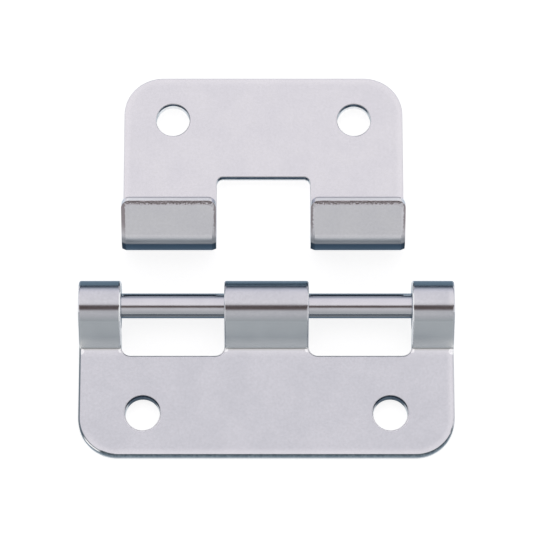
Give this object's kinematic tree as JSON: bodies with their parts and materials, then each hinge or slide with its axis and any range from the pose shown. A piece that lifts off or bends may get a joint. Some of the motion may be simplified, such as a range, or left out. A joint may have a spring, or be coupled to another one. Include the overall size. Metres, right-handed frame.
{
  "type": "detachable hinge",
  "caption": "Lift-off case hinge in bent sheet steel: a leaf with rolled knuckles on a fixed pin, and a leaf with open hooks that swing on the pin and slide off it.",
  "frame": {"origin": "middle of the hinge pin's length, on its axis", "axes": "+X along the pin, +Y from the pin leaf towards the hook leaf in the plane of the leaves, +Z out of the surface that the leaves are screwed to"},
  "size_m": [0.06, 0.064, 0.011],
  "materials": {
    "leaf_sheet": "bright zinc plating on rolled sheet, satin",
    "pin_rod": "drawn and zinc plated, satin"
  },
  "bodies": {
    "pin_leaf": {"pin_leaf": "leaf_sheet", "hinge_pin": "pin_rod"},
    "hook_leaf": {"hook_leaf": "leaf_sheet"}
  },
  "joints": [
    {"name": "hook_leaf_swing", "type": "hinge", "parent": "pin_leaf", "child": "hook_leaf", "pos_m": [-0.0005, 0.0138, 0], "axis": [1, 0, 0], "range_deg": [0, 138]}
  ]
}
